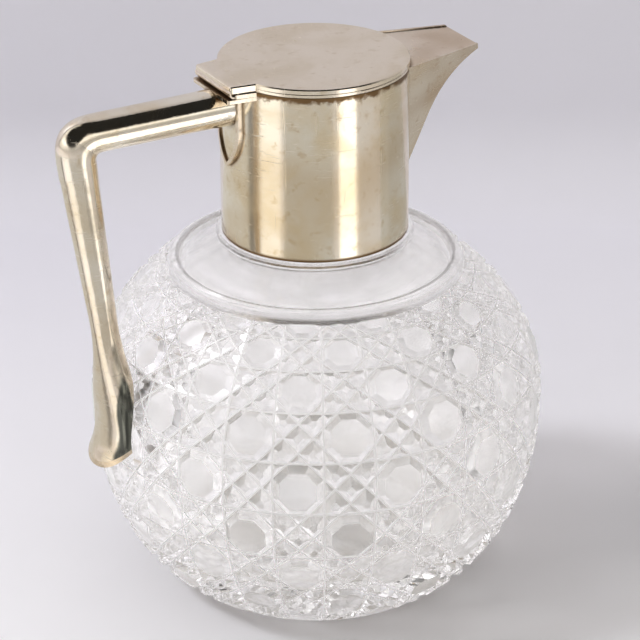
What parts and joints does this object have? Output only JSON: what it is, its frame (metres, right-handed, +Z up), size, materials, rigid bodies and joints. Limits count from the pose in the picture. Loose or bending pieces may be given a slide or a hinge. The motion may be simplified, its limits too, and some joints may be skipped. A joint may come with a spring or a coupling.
{
  "type": "claret jug",
  "caption": "Globular cut-glass claret jug with a silver collar, covered pouring spout, angular tube handle and a hinged flat lid.",
  "frame": {"origin": "centre of the flat base, on the axis of the glass body", "axes": "+Z up along the axis of the body, +X along the spout; the handle and the hinge are on -X, and y = 0 is the plane of symmetry"},
  "size_m": [0.1649, 0.15, 0.1803],
  "materials": {
    "cut_glass": "clear colourless glass, cut and polished",
    "silver": "polished silver, lightly tarnished and scratched",
    "plaster": "matt setting plaster"
  },
  "bodies": {
    "jug": {"glass_body": "cut_glass", "neck_cement": "plaster", "collar_tube": "silver", "collar_mouth_ring": "silver", "spout_body": "silver", "spout_cover": "silver", "hinge_bracket": "silver", "collar_knuckles": "silver", "hinge_pin": "silver", "handle_upper_arm": "silver", "handle_lower_arm": "silver", "socket_cement": "plaster", "socket_end_plate": "silver", "shield_plate": "silver", "shield_wire": "silver"},
    "lid": {"lid_plate": "silver", "lid_rim": "silver", "lid_bezel": "silver", "lid_knuckles": "silver"}
  },
  "joints": [
    {"name": "lid_hinge", "type": "hinge", "parent": "jug", "child": "lid", "pos_m": [-0.0346, 0, 0.17792], "axis": [0, -1, 0], "range_deg": [0, 95]}
  ]
}
